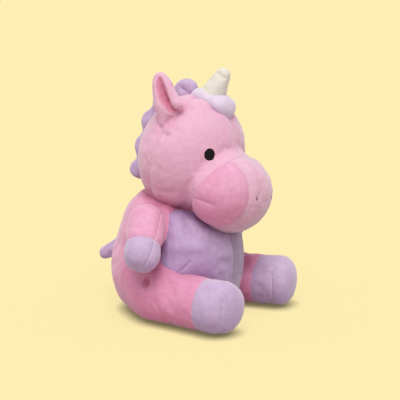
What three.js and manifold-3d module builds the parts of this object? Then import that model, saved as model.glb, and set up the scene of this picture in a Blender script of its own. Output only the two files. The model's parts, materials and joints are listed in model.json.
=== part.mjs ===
// A sitting plush unicorn: soft pile covers sewn from panels, each over its own stuffing.
//
// Units are millimetres. +Z is up, +X is the toy's left and it looks along -Y.
// The origin is on the ground, under the middle of the seat.
// The head, with everything sewn to it, is drawn in its own frame: its origin is the neck
// pivot and it leans a few degrees towards the toy's left.

import * as THREE from 'three';
import { ConvexGeometry } from 'three/addons/geometries/ConvexGeometry.js';
import { mergeVertices } from 'three/addons/utils/BufferGeometryUtils.js';
import Module from 'manifold-3d';

const wasm = await Module();
wasm.setup();

// ---------------------------------------------------------------- driving dimensions

const CLOTH = 1.5; // thickness of the pile fabric
const GAP = 0.3; // clearance between two pieces that are sewn or packed together
const RUN = 0.6; // clearance beside a piece that moves

// Rings of the torso: height, half width, reach to the back, reach to the front.
const TORSO_RINGS = [
  [0, 53, 52, 51],
  [12, 63, 60, 58],
  [30, 69.5, 66.5, 63],
  [50, 71, 68, 66],
  [72, 69, 63.5, 67],
  [90, 63, 57, 60],
  [106, 55.5, 51.5, 51],
  [122, 46, 45, 40],
  [140, 34, 36, 28],
];
const TORSO_SIDES = 20;
const SEAT_HEIGHT = 6; // the seat panel turns up this far
const BELLY_SEAM_Y = -18; // the belly panels lie in front of this plane
const BEANS = { centre: [0, 14, 11.5], radii: [30, 28, 11] };

const NECK = { pivot: [0, -2, 118], lean: 7, tilt: 16, radius: 24, half: 2, relief: 11.5 };
const TURN = { min: -20, max: 20 };
const NOD = { min: -10, max: 5 }; // up, down

const SKULL = { centre: [0, -11.8, 48.1], radii: [62, 50.9, 62.9], pitch: 12.4 };
const MUZZLE = { centre: [0, -60.2, 12.9], radii: [50.8, 40.1, 40.8], pitch: 0 };
const MUZZLE_SEAM = { point: [0, -70, 52], normal: [0, -0.894, -0.447] };
const FACE_SEAM = { point: [0, -9.5, 72], normal: [0, 0.946, 0.322] };
const MUZZLE_FRONT_HALF = 24;

// The eyes are sewn on by hand, so the left one sits a little further back.
const EYE = {
  at: { left: [43.6, -47.8, 51.0], right: [-36.9, -52.6, 51.0] },
  radius: 6,
  proud: 1.3,
};
const NOSTRIL = { at: [15, -98.3, 10.1], radii: [1.1, 1.4, 2.2] };

const HORN = { base: [0, -27, 99], lean: 26.5, length: 44, baseRadius: 17, tipRadius: 7.8, tilt: 10 };
const FORELOCK = {
  cape: { centre: [0, -27, 104], radii: [25, 25, 9.5], pitch: 16 },
  roll: { centre: [0, -47, 100], radii: [21, 11, 12], pitch: 0 },
};

// The mane is a row of lobes down the middle of the head: centre, reach outwards, half length.
const MANE_HALF_WIDTH = 9;
const MANE_LOBES = [
  { centre: [0, 0, 110], reach: 17, half: 16, pitch: 4 },
  { centre: [0, 25, 100], reach: 15, half: 15, pitch: -35 },
  { centre: [0, 38, 78], reach: 15, half: 15, pitch: -65 },
  { centre: [0, 43.5, 52], reach: 16.5, half: 15, pitch: -85 },
  { centre: [0, 47, 28], reach: 18, half: 12.5, pitch: -98 },
];

const EAR = {
  root: [46, -12, 86],
  centre: [49.5, -8.5, 103],
  radii: [14, 9.5, 27.5],
  facing: 75, // the opening looks this far outwards from straight ahead
  lean: 3, // of the tip, towards the top of the head
  sweep: 12, // of the tip, towards the back
  hollow: { shift: [0, -7.5, 1], radii: [9.5, 8, 22] },
  bend: 20,
};

const ARM = {
  pivot: [64, -3.5, 104.5],
  tip: [88, -12.5, 76.5],
  rootRadius: 18.5,
  tipRadius: 18,
  hoofFrom: 26,
  seamTurn: -24, // the middle of the outer panel, turned forwards about the limb
  swing: { min: -25, max: 60 }, // back, forwards and up
};
const LEG = {
  pivot: [51, -14, 29.5],
  tip: [61.6, -80.4, 27.3],
  rootRadius: 27,
  tipRadius: 26.8,
  hoofFrom: 57,
  seamTurn: 0,
  lift: { min: 0, max: 25 },
};
const TAIL = { centre: [0, 82.5, 54.5], radii: [8.5, 18, 10.5], pitch: -30, hinge: [0, 69, 57], swing: 30 };

const PINK = { color: 0xe8a3bd, roughness: 0.95, metalness: 0 };
const DEEP_PINK = { color: 0xd97f9b, roughness: 0.95, metalness: 0 };
const LILAC = { color: 0xc4a6d6, roughness: 0.95, metalness: 0 };
const CREAM = { color: 0xe3dccb, roughness: 0.9, metalness: 0 };
const BLACK = { color: 0x191217, roughness: 0.6, metalness: 0 };
const MAUVE = { color: 0xa68693, roughness: 0.8, metalness: 0 };
const FIBRE = { color: 0xf2f0ec, roughness: 1, metalness: 0 };
const LINEN = { color: 0xd8d2c4, roughness: 1, metalness: 0 };

// ---------------------------------------------------------------- solids and cuts

const rad = THREE.MathUtils.degToRad;
const vec = (list) => new THREE.Vector3(...list);
const mirrored = (list, side) => [list[0] * side, list[1], list[2]];

function toSolid(geometry, matrix = new THREE.Matrix4()) {
  const bare = geometry.clone().applyMatrix4(matrix);
  bare.deleteAttribute('normal');
  bare.deleteAttribute('uv');
  const merged = mergeVertices(bare, 1e-4);
  return new wasm.Manifold(new wasm.Mesh({
    numProp: 3,
    vertProperties: new Float32Array(merged.attributes.position.array),
    triVerts: new Uint32Array(merged.index.array),
  }));
}

function union(solids) {
  return solids.reduce((sum, solid) => sum.add(solid));
}

// Half of space, as a large box whose face lies on the plane, GAP / 2 behind the seam.
function beyond(point, normal, clearance = GAP / 2) {
  const size = 500;
  const direction = vec(normal).normalize();
  const turn = new THREE.Quaternion().setFromUnitVectors(new THREE.Vector3(0, 0, 1), direction);
  const centre = vec(point).addScaledVector(direction, clearance + size / 2);
  const matrix = new THREE.Matrix4().compose(centre, turn, new THREE.Vector3(1, 1, 1));
  return toSolid(new THREE.BoxGeometry(size, size, size), matrix);
}

// Cuts a solid along a plane and returns [the side the normal points to, the other side].
function split(solid, point, normal) {
  const back = normal.map((value) => -value);
  return [solid.intersect(beyond(point, normal)), solid.intersect(beyond(point, back))];
}

function leftAndRight(solid) {
  return split(solid, [0, 0, 0], [1, 0, 0]);
}

// The largest connected piece: trims specks that a cut leaves behind.
function mainPiece(solid) {
  const pieces = solid.decompose();
  return pieces.reduce((best, piece) => (piece.volume() > best.volume() ? piece : best));
}

// Turns about an axis that passes through a pivot.
function turnAbout(pivot, axis, degrees) {
  const there = new THREE.Matrix4().makeTranslation(vec(pivot));
  const back = new THREE.Matrix4().makeTranslation(vec(pivot).negate());
  const turn = new THREE.Matrix4().makeRotationAxis(vec(axis).normalize(), rad(degrees));
  return there.multiply(turn).multiply(back);
}

// The room that a shape needs as it moves through several poses, as one convex solid.
function swept(geometry, poses) {
  const place = geometry.attributes.position;
  const points = poses.flatMap((pose) => Array.from({ length: place.count }, (_, i) =>
    new THREE.Vector3().fromBufferAttribute(place, i).applyMatrix4(pose)));
  return toSolid(new ConvexGeometry(points));
}

// The same room where the moving shape must stay close to its neighbour.
function sweptClosely(geometry, poses) {
  return union(poses.map((pose) => toSolid(geometry, pose)));
}

function steps(min, max, count) {
  return Array.from({ length: count }, (_, i) => min + ((max - min) * i) / (count - 1));
}

function ellipsoid(shape, grow = 0, around = 18, rings = 10) {
  const radii = shape.radii.map((radius) => radius + grow);
  const geometry = new THREE.SphereGeometry(1, around, rings);
  geometry.scale(...radii);
  geometry.rotateX(rad(shape.pitch ?? 0));
  geometry.translate(...shape.centre);
  return geometry;
}

// A capsule whose ends may differ, along +Y from the origin, as a turned profile.
function capsule(length, rootRadius, tipRadius, grow = 0) {
  const root = rootRadius + grow;
  const tip = tipRadius + grow;
  const slope = Math.asin((root - tip) / length);
  const profile = [];
  const arc = (centre, radius, from, to, count) => {
    for (const angle of steps(from, to, count)) {
      profile.push(new THREE.Vector2(radius * Math.cos(angle), centre + radius * Math.sin(angle)));
    }
  };
  arc(0, root, -Math.PI / 2, slope, 4);
  arc(length, tip, slope, Math.PI / 2, 4);
  profile[0].x = 0;
  profile[profile.length - 1].x = 0;
  return new THREE.LatheGeometry(profile, 12);
}

// ---------------------------------------------------------------- scene graph helpers

const unicorn = new THREE.Group();

// Pieces that move together share a group, and the group carries their place.
function body(place = new THREE.Matrix4()) {
  const group = new THREE.Group();
  group.applyMatrix4(place);
  unicorn.add(group);
  return group;
}

function addPiece(parent, name, solid, finish) {
  const mesh = mainPiece(solid).getMesh();
  const geometry = new THREE.BufferGeometry();
  geometry.setAttribute('position', new THREE.BufferAttribute(mesh.vertProperties, 3));
  geometry.setIndex(new THREE.BufferAttribute(mesh.triVerts, 1));
  geometry.computeVertexNormals();
  const piece = new THREE.Mesh(geometry, new THREE.MeshStandardMaterial(finish));
  piece.name = name;
  parent.add(piece);
}

// ---------------------------------------------------------------- frames of the moving parts

const headMatrix = new THREE.Matrix4()
  .makeTranslation(vec(NECK.pivot))
  .multiply(new THREE.Matrix4().makeRotationY(rad(NECK.lean)));

// The neck's own axis, in the head frame: up the neck, tilted forwards.
const NECK_AXIS = [0, -Math.sin(rad(NECK.tilt)), Math.cos(rad(NECK.tilt))];
const NOD_AXIS = [1, 0, 0];

// Where the head goes as it turns and nods, in the torso's frame.
function headPoses() {
  const poses = [];
  for (const turn of steps(TURN.min, TURN.max, 5)) {
    for (const nod of steps(NOD.min, NOD.max, 2)) {
      const turned = turnAbout([0, 0, 0], NECK_AXIS, turn);
      const nodded = turnAbout([0, 0, 0], NOD_AXIS, nod);
      poses.push(headMatrix.clone().multiply(turned).multiply(nodded));
    }
  }
  return poses;
}

// A limb frame sits on the pivot, with +Y along the limb and +X to its outer side.
function limbMatrix(limb, side) {
  const pivot = vec(mirrored(limb.pivot, side));
  const along = vec(mirrored(limb.tip, side)).sub(pivot).normalize();
  const outer = new THREE.Vector3(side, 0, 0);
  outer.addScaledVector(along, -outer.dot(along)).normalize();
  const third = new THREE.Vector3().crossVectors(outer, along);
  return new THREE.Matrix4().makeBasis(outer, along, third).setPosition(pivot);
}

function limbLength(limb) {
  return vec(limb.tip).distanceTo(vec(limb.pivot));
}

function limbShape(limb, grow) {
  return capsule(limbLength(limb), limb.rootRadius, limb.tipRadius, grow);
}

// The hinge of a limb runs across it and level; a positive turn lifts the limb.
function limbAxis(limb, side) {
  const along = vec(mirrored(limb.tip, side)).sub(vec(mirrored(limb.pivot, side)));
  return limb === ARM ? [-1, 0, 0] : [along.y, -along.x, 0];
}

function limbRoom(limb, side, range, grow) {
  const pivot = mirrored(limb.pivot, side);
  const rest = limbMatrix(limb, side);
  const poses = steps(range.min, range.max, 4).map((angle) =>
    turnAbout(pivot, limbAxis(limb, side), angle).multiply(rest));
  return swept(limbShape(limb, grow), poses);
}

// ---------------------------------------------------------------- torso

// A lofted barrel: each ring is an ellipse with its own reach to the front and to the back.
function barrel(rings, inset) {
  const positions = [];
  const index = [];
  const top = rings.length - 1;
  rings.forEach(([height, halfWidth, back, front], level) => {
    const lift = level === 0 ? inset : 0;
    for (let i = 0; i < TORSO_SIDES; i++) {
      const angle = (2 * Math.PI * i) / TORSO_SIDES;
      const depth = Math.sin(angle) > 0 ? back : front;
      positions.push((halfWidth - inset) * Math.cos(angle), (depth - inset) * Math.sin(angle), height + lift);
    }
  });
  for (let level = 0; level < top; level++) {
    for (let i = 0; i < TORSO_SIDES; i++) {
      const a = level * TORSO_SIDES + i;
      const b = level * TORSO_SIDES + ((i + 1) % TORSO_SIDES);
      index.push(a, b, b + TORSO_SIDES, a, b + TORSO_SIDES, a + TORSO_SIDES);
    }
  }
  for (let i = 1; i < TORSO_SIDES - 1; i++) {
    index.push(0, i + 1, i);
    const last = top * TORSO_SIDES;
    index.push(last, last + i, last + i + 1);
  }
  const geometry = new THREE.BufferGeometry();
  geometry.setAttribute('position', new THREE.Float32BufferAttribute(positions, 3));
  geometry.setIndex(index);
  return geometry;
}

function worldNeckCut(offset) {
  const point = vec(NECK_AXIS).multiplyScalar(offset).applyMatrix4(headMatrix);
  const normal = vec(NECK_AXIS).transformDirection(headMatrix).negate();
  return beyond(point.toArray(), normal.toArray(), 0);
}

function buildTorso() {
  const torso = body();
  const belowNeck = worldNeckCut(-NECK.half - GAP);
  const room = union([
    swept(ellipsoid(MUZZLE, RUN, 14, 9), headPoses()),
    swept(ellipsoid(maneLobe(MANE_LOBES[4]), RUN, 8, 6), headPoses()),
    ...[1, -1].flatMap((side) => [
      limbRoom(LEG, side, LEG.lift, RUN),
      limbRoom(ARM, side, ARM.swing, RUN),
    ]),
  ]);
  const outside = toSolid(barrel(TORSO_RINGS, 0));
  const lining = toSolid(barrel(TORSO_RINGS, CLOTH));
  const cover = outside.subtract(lining).intersect(belowNeck).subtract(room);
  const [upper, seat] = split(cover, [0, 0, SEAT_HEIGHT], [0, 0, 1]);
  const [backHalf, bellyHalf] = split(upper, [0, BELLY_SEAM_Y, 0], [0, 1, 0]);
  const [bellyLeft, bellyRight] = leftAndRight(bellyHalf);
  const [backLeft, backRight] = leftAndRight(backHalf);
  addPiece(torso, 'belly_panel_left', bellyLeft, LILAC);
  addPiece(torso, 'belly_panel_right', bellyRight, LILAC);
  addPiece(torso, 'back_panel_left', backLeft, PINK);
  addPiece(torso, 'back_panel_right', backRight, PINK);
  addPiece(torso, 'seat_panel', seat, PINK);

  const beanRoom = toSolid(ellipsoid(BEANS, GAP, 16, 8));
  const filling = toSolid(barrel(TORSO_RINGS, CLOTH + GAP)).intersect(belowNeck).subtract(room);
  addPiece(torso, 'torso_stuffing', filling.subtract(beanRoom), FIBRE);
  const aboveSeat = beyond([0, 0, CLOTH + GAP], [0, 0, 1], 0);
  addPiece(torso, 'bean_pouch', toSolid(ellipsoid(BEANS, 0, 16, 8)).intersect(aboveSeat), LINEN);
}

// ---------------------------------------------------------------- neck

// A turned wedge below the head that keeps room for the nod.
function neckRelief(offset) {
  const reach = 120;
  const rise = reach * Math.tan(rad(NECK.relief));
  const profile = [
    new THREE.Vector2(0, offset),
    new THREE.Vector2(reach, offset + rise),
    new THREE.Vector2(reach, -reach),
    new THREE.Vector2(0, -reach),
  ].reverse();
  const geometry = new THREE.LatheGeometry(profile, 20);
  geometry.rotateX(rad(90 + NECK.tilt));
  return toSolid(geometry);
}

function buildNeck() {
  const neck = body(headMatrix);
  const plug = new THREE.CylinderGeometry(NECK.radius, NECK.radius, 2 * NECK.half, 24);
  plug.rotateX(rad(90 + NECK.tilt));
  const nods = steps(NOD.min, NOD.max, 3).map((nod) => turnAbout([0, 0, 0], NOD_AXIS, nod));
  const room = swept(ellipsoid(MUZZLE, RUN, 14, 9), nods);
  addPiece(neck, 'neck_stuffing', toSolid(plug).subtract(room), FIBRE);
}

// ---------------------------------------------------------------- head

function headSolid(grow, relief) {
  const skull = toSolid(ellipsoid(SKULL, grow));
  const muzzle = toSolid(ellipsoid(MUZZLE, grow, 14, 9));
  return skull.subtract(relief).add(muzzle);
}

function surfaceSpot(radii, centre) {
  return toSolid(ellipsoid({ centre, radii }, 0, 12, 6));
}

function buildHead() {
  const head = body(headMatrix);
  const relief = neckRelief(NECK.half + GAP);
  const nothing = beyond([0, 0, -900], [0, 0, -1]);
  const lining = headSolid(-CLOTH, nothing);
  const cover = headSolid(0, relief).subtract(lining);

  const [muzzle, rest] = split(cover, MUZZLE_SEAM.point, MUZZLE_SEAM.normal);
  const [back, face] = split(rest, FACE_SEAM.point, FACE_SEAM.normal);
  const [sideLeft, inside] = split(muzzle, [MUZZLE_FRONT_HALF, 0, 0], [1, 0, 0]);
  const [sideRight, front] = split(inside, [-MUZZLE_FRONT_HALF, 0, 0], [-1, 0, 0]);
  const [faceLeft, faceRight] = leftAndRight(face);
  const [backLeft, backRight] = leftAndRight(back);
  addPiece(head, 'muzzle_side_left', sideLeft, PINK);
  addPiece(head, 'muzzle_side_right', sideRight, PINK);
  addPiece(head, 'muzzle_front', front, PINK);
  addPiece(head, 'face_panel_left', faceLeft, PINK);
  addPiece(head, 'face_panel_right', faceRight, PINK);
  addPiece(head, 'head_back_left', backLeft, PINK);
  addPiece(head, 'head_back_right', backRight, PINK);
  addPiece(head, 'head_stuffing', headSolid(-CLOTH - GAP, relief), FIBRE);

  const skin = headSolid(GAP, nothing);
  for (const [side, hand] of [[1, 'left'], [-1, 'right']]) {
    const patch = [EYE.radius, EYE.radius, EYE.radius];
    const shallow = toSolid(ellipsoid(SKULL, EYE.proud));
    const eye = surfaceSpot(patch, EYE.at[hand]).intersect(shallow);
    addPiece(head, `eye_${hand}`, eye.subtract(skin), BLACK);
    const nostril = surfaceSpot(NOSTRIL.radii, mirrored(NOSTRIL.at, side));
    addPiece(head, `nostril_${hand}`, nostril.subtract(skin), MAUVE);
  }
  buildMane(head, skin);
  buildForelock(head, skin);
}

// ---------------------------------------------------------------- mane and forelock

function maneLobe(lobe, grow = 0) {
  return {
    centre: lobe.centre,
    radii: [MANE_HALF_WIDTH + grow, lobe.half + grow, lobe.reach + grow],
    pitch: lobe.pitch,
  };
}

function maneSolid(grow) {
  return union(MANE_LOBES.map((lobe) => toSolid(ellipsoid(maneLobe(lobe, grow), 0, 8, 6))));
}

function buildMane(head, skin) {
  const cover = maneSolid(0).subtract(maneSolid(-CLOTH)).subtract(skin);
  const [left, right] = leftAndRight(cover);
  addPiece(head, 'mane_left', left, LILAC);
  addPiece(head, 'mane_right', right, LILAC);
  const padding = maneSolid(-CLOTH - GAP).subtract(toSolid(ellipsoid(SKULL, CLOTH)));
  addPiece(head, 'mane_padding', padding, FIBRE);
}

function forelockSolid(grow) {
  return toSolid(ellipsoid(FORELOCK.cape, grow, 14, 8)).add(toSolid(ellipsoid(FORELOCK.roll, grow, 12, 8)));
}

function buildForelock(head, skin) {
  const tilts = steps(-HORN.tilt, HORN.tilt, 3);
  const hornRoom = swept(hornShape(RUN), tilts.map((tilt) => turnAbout(HORN.base, NOD_AXIS, tilt)));
  const mane = maneSolid(GAP);
  const cover = forelockSolid(0).subtract(forelockSolid(-CLOTH)).subtract(skin);
  addPiece(head, 'forelock_cover', cover.subtract(hornRoom).subtract(mane), LILAC);
  const padding = forelockSolid(-CLOTH - GAP).subtract(skin);
  addPiece(head, 'forelock_padding', padding.subtract(hornRoom).subtract(mane), FIBRE);
}

// ---------------------------------------------------------------- horn

// A blunt cone, turned about its own axis and then leaned forwards on the brow.
function hornShape(grow = 0) {
  const base = HORN.baseRadius + grow;
  const tip = HORN.tipRadius + grow;
  const shoulder = HORN.length - HORN.tipRadius;
  const profile = [new THREE.Vector2(0, -4), new THREE.Vector2(base, -4)];
  for (const angle of steps(0.15, Math.PI / 2, 5)) {
    profile.push(new THREE.Vector2(tip * Math.cos(angle), shoulder + tip * Math.sin(angle)));
  }
  profile[profile.length - 1].x = 0;
  const geometry = new THREE.LatheGeometry(profile, 12);
  geometry.rotateX(rad(90 + HORN.lean));
  geometry.translate(...HORN.base);
  return geometry;
}

function buildHorn() {
  const horn = body(headMatrix);
  const tilts = steps(-HORN.tilt, HORN.tilt, 3);
  const brow = swept(ellipsoid(SKULL, RUN), tilts.map((tilt) => turnAbout(HORN.base, NOD_AXIS, tilt)));
  const mane = swept(
    ellipsoid(maneLobe(MANE_LOBES[0]), RUN, 8, 6),
    tilts.map((tilt) => turnAbout(HORN.base, NOD_AXIS, tilt)),
  );
  const cover = toSolid(hornShape()).subtract(toSolid(hornShape(-CLOTH)));
  const filling = toSolid(hornShape(-CLOTH - GAP));
  addPiece(horn, 'horn_cover', cover.subtract(brow).subtract(mane), CREAM);
  addPiece(horn, 'horn_stuffing', filling.subtract(brow).subtract(mane), FIBRE);
}

// ---------------------------------------------------------------- ears

function earMatrix(side) {
  return new THREE.Matrix4()
    .makeTranslation(vec(mirrored(EAR.centre, side)))
    .multiply(new THREE.Matrix4().makeRotationZ(rad(EAR.facing * side)))
    .multiply(new THREE.Matrix4().makeRotationX(rad(-EAR.lean)))
    .multiply(new THREE.Matrix4().makeRotationY(rad(EAR.sweep * side)));
}

function buildEar(side, hand) {
  const ear = body(headMatrix);
  const root = mirrored(EAR.root, side);
  const axis = [Math.cos(rad(EAR.facing)), Math.sin(rad(EAR.facing)) * side, 0];
  const bends = steps(-EAR.bend, EAR.bend, 3).map((bend) => turnAbout(root, axis, bend));
  const skull = swept(ellipsoid(SKULL, RUN), bends);
  const place = earMatrix(side);
  const leaf = ellipsoid({ centre: [0, 0, 0], radii: EAR.radii }, 0, 14, 8);
  const { shift, radii } = EAR.hollow;
  const hollow = toSolid(ellipsoid({ centre: shift, radii }, 0, 12, 8), place);
  const bowl = toSolid(ellipsoid({ centre: shift, radii }, -CLOTH, 12, 8), place);
  const shape = toSolid(leaf, place).subtract(skull);
  addPiece(ear, `ear_outer_${hand}`, shape.subtract(hollow), PINK);
  const liner = toSolid(ellipsoid({ centre: shift, radii }, -GAP, 12, 8), place).subtract(bowl);
  addPiece(ear, `ear_inner_${hand}`, liner.intersect(shape), DEEP_PINK);
}

// ---------------------------------------------------------------- limbs

function buildLimb(kind, limb, side, hand) {
  const group = body(limbMatrix(limb, side));
  const cover = toSolid(limbShape(limb, 0)).subtract(toSolid(limbShape(limb, -CLOTH)));
  const [hoof, upper] = split(cover, [0, limb.hoofFrom, 0], [0, 1, 0]);
  const turn = rad(limb.seamTurn) * side;
  const outwards = [Math.cos(turn), 0, -Math.sin(turn)];
  const [hoofOuter, hoofInner] = split(hoof, [0, 0, 0], outwards);
  const [outer, inner] = split(upper, [0, 0, 0], outwards);
  addPiece(group, `${kind}_outer_${hand}`, outer, PINK);
  addPiece(group, `${kind}_inner_${hand}`, inner, PINK);
  addPiece(group, `${kind}_hoof_outer_${hand}`, hoofOuter, LILAC);
  addPiece(group, `${kind}_hoof_inner_${hand}`, hoofInner, LILAC);
  addPiece(group, `${kind}_stuffing_${hand}`, toSolid(limbShape(limb, -CLOTH - GAP)), FIBRE);
}

// ---------------------------------------------------------------- tail

function buildTail() {
  const tail = body();
  const swings = steps(-TAIL.swing, TAIL.swing, 3).map((swing) => turnAbout(TAIL.hinge, [0, 0, 1], swing));
  const torso = sweptClosely(barrel(TORSO_RINGS, -RUN), swings);
  const lobe = (grow) => toSolid(ellipsoid(TAIL, grow, 10, 8));
  const [left, right] = leftAndRight(lobe(0).subtract(lobe(-CLOTH)).subtract(torso));
  addPiece(tail, 'tail_cover_left', left, LILAC);
  addPiece(tail, 'tail_cover_right', right, LILAC);
  addPiece(tail, 'tail_stuffing', lobe(-CLOTH - GAP).subtract(torso), FIBRE);
}

// ---------------------------------------------------------------- assembly

buildTorso();
buildNeck();
buildHead();
buildHorn();
for (const [side, hand] of [[1, 'left'], [-1, 'right']]) {
  buildEar(side, hand);
  buildLimb('arm', ARM, side, hand);
  buildLimb('leg', LEG, side, hand);
}
buildTail();

export default unicorn;
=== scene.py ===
"""Looks of a sitting plush unicorn: soft pile covers, sewn in panels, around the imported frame.

Every cover starts as a smooth solid (a field that is negative inside), becomes a coarse
quad net, is inflated by a cloth simulation with its seams held, and is subdivided. Then it
is cut into its sewn panels, and the seams, darts and puckers are pressed into it.

Shapes are worked out in millimetres. Blender objects are in metres.
"""

import json
import math

import bpy
import numpy as np
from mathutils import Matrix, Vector, noise
from mathutils.bvhtree import BVHTree
from mathutils.kdtree import KDTree


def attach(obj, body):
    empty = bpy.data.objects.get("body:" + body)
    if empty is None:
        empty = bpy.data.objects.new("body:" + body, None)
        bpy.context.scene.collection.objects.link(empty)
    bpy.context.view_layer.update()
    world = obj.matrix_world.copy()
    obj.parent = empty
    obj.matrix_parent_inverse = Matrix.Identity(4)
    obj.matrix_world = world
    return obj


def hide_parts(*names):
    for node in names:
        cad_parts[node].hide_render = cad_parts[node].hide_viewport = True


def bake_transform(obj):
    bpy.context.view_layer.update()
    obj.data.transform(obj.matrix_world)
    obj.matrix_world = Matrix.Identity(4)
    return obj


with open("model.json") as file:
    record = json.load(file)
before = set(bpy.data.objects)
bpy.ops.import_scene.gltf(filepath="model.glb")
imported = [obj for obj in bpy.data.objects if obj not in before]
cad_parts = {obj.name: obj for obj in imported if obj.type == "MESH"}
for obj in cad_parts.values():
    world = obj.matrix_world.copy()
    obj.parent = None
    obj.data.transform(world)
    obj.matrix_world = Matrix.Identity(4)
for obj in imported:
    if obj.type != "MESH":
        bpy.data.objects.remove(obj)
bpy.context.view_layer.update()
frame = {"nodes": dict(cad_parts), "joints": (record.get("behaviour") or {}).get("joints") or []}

MM = 0.001
SIDES = (("left", 1.0), ("right", -1.0))

# ------------------------------------------------------------------ places from the frame

JOINTS = {joint["name"]: joint for joint in frame["joints"]}


def joint_point(name):
    return np.array(JOINTS[name]["pos_m"], float) / MM


def joint_axis(name):
    return np.array(JOINTS[name]["axis"], float)


def node_points(*names):
    """Corners of CAD nodes, in millimetres."""
    found = []
    for name in names:
        mesh = frame["nodes"][name].data
        co = np.zeros(3 * len(mesh.vertices))
        mesh.vertices.foreach_get("co", co)
        found.append(co.reshape(-1, 3) / MM)
    return np.vstack(found)


NECK = joint_point("neck_nod")
HEAD_X = joint_axis("neck_nod")
HEAD_Y = np.array([0.0, 1.0, 0.0])
HEAD_Z = np.cross(HEAD_X, HEAD_Y)
HEAD_TURN = np.column_stack([HEAD_X, HEAD_Y, HEAD_Z])
NECK_AXIS = joint_axis("neck_turn")


def to_head(points):
    return (points - NECK) @ HEAD_TURN


def from_head(points):
    return points @ HEAD_TURN.T + NECK


# ------------------------------------------------------------------ sizes of the soft forms

SKULL = ((0, -11.8, 48.1), (62, 50.9, 62.9), 12.4)
MUZZLE = ((0, -60.6, 12.9), (51.2, 40.9, 41.6), 0)
JAW = ((8.6, -8.7, -2.4), (14.2, 51.0, 15.0), 20.1)  # one on each side of the middle
SEAT = ((0, 0, 46), (71, 68, 70))
CHEST = ((0, 1, 95), (55, 53, 50))
BELLY = ((0, -8, 72), (60, 59, 46))

HEAD_CUT = 2  # how far below the neck's pivot the torso ends, along the neck
FINE = 2  # rounds of subdivision after the coarse net
COARSE_STEP, LIMB_STEP, SMALL_STEP, EAR_STEP = 4.8, 4.0, 3.0, 2.4  # the coarse nets' cell sizes
LUMPS = ((0.35, 16.0, 5.0), (0.2, 6.0, 9.0))  # uneven stuffing: height, wavelength, seed


# ------------------------------------------------------------------ fields


def ellipsoid(points, centre, radii, pitch=0.0):
    q = points - np.array(centre, float)
    if pitch:
        c, s = math.cos(math.radians(pitch)), math.sin(math.radians(pitch))
        q = np.column_stack([q[:, 0], c * q[:, 1] + s * q[:, 2], c * q[:, 2] - s * q[:, 1]])
    r = np.array(radii, float)
    near = np.linalg.norm(q / r, axis=1)
    slope = np.linalg.norm(q / r**2, axis=1)
    return near * (near - 1) / np.maximum(slope, 1e-6)


def round_cone(points, start, end, start_radius, end_radius):
    along = np.array(end, float) - start
    share = np.clip((points - start) @ along / (along @ along), 0, 1)
    radius = start_radius + (end_radius - start_radius) * share
    return np.linalg.norm(points - start - share[:, None] * along, axis=1) - radius


def join(a, b, softness):
    """Union of two fields with a soft valley."""
    h = np.clip(0.5 + 0.5 * (b - a) / softness, 0, 1)
    return b + (a - b) * h - softness * h * (1 - h)


def meet(a, b, softness):
    """Intersection of two fields with a soft edge."""
    return -join(-a, -b, softness)


def torso_field(points):
    """A sitting body, flat on the floor and cut off below the head, square to the neck."""
    body = join(ellipsoid(points, *SEAT), ellipsoid(points, *CHEST), 16)
    body = join(body, ellipsoid(points, *BELLY), 14)
    body = meet(body, (points - NECK) @ NECK_AXIS + HEAD_CUT, 12)
    return meet(body, -points[:, 2], 6)


def head_field(points):
    head = join(ellipsoid(points, *SKULL), ellipsoid(points, *MUZZLE), 7)
    folded = np.column_stack([np.abs(points[:, 0]), points[:, 1:]])
    return join(head, ellipsoid(folded, *JAW), 10)


# ------------------------------------------------------------------ nets of quads


def slope_of(field, points, reach=0.3):
    steps = np.eye(3) * reach
    return np.column_stack([(field(points + s) - field(points - s)) / (2 * reach) for s in steps])


def pull(field, points, limit, rounds=3):
    """Moves points onto the surface of the field."""
    for _ in range(rounds):
        slope = slope_of(field, points)
        move = -slope * (field(points) / np.maximum((slope**2).sum(1), 1e-6))[:, None]
        length = np.linalg.norm(move, axis=1, keepdims=True)
        points = points + move * np.minimum(1, limit / np.maximum(length, 1e-9))
    return points


def neighbour_mean(points, quads):
    total = np.zeros_like(points)
    count = np.zeros(len(points))
    for i in range(4):
        a, b = quads[:, i], quads[:, (i + 1) % 4]
        np.add.at(total, a, points[b])
        np.add.at(total, b, points[a])
        np.add.at(count, a, 1)
        np.add.at(count, b, 1)
    return total / count[:, None]


def net(field, low, high, step, rounds=5):
    """A net of even quads over the surface where the field is zero."""
    low = np.array(low, float)
    size = np.ceil((np.array(high) - low) / step).astype(int) + 1
    axes = [low[i] + step * np.arange(size[i]) for i in range(3)]
    grid = np.stack(np.meshgrid(*axes, indexing="ij"), axis=-1).reshape(-1, 3)
    inside = (field(grid) < 0).reshape(size)
    ends = (slice(0, -1), slice(1, None))
    corners = sum(inside[i, j, k].astype(int) for i in ends for j in ends for k in ends)
    mixed = (corners > 0) & (corners < 8)
    number = np.full(mixed.shape, -1)
    number[mixed] = np.arange(mixed.sum())
    points = low + (np.argwhere(mixed) + 0.5) * step
    quads = []
    for axis in range(3):
        lower = np.take(inside, range(size[axis] - 1), axis)
        upper = np.take(inside, range(1, size[axis]), axis)
        b, c = np.eye(3, dtype=int)[(axis + 1) % 3], np.eye(3, dtype=int)[(axis + 2) % 3]
        for crossing, order in ((lower & ~upper, 1), (~lower & upper, -1)):
            at = np.argwhere(crossing)
            ring = [tuple((at - shift).T) for shift in (b + c, c, 0 * c, b)]
            quads.append(np.column_stack([number[cell] for cell in ring])[:, ::order])
    quads = np.vstack(quads)
    points = pull(field, points, step)
    for _ in range(rounds):
        points = pull(field, 0.4 * points + 0.6 * neighbour_mean(points, quads), step, 2)
    return points, quads


# ------------------------------------------------------------------ Blender meshes


def mesh_of(name, points, faces):
    mesh = bpy.data.meshes.new(name)
    mesh.from_pydata((points * MM).tolist(), [], [list(map(int, face)) for face in faces])
    mesh.update()
    return mesh


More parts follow.
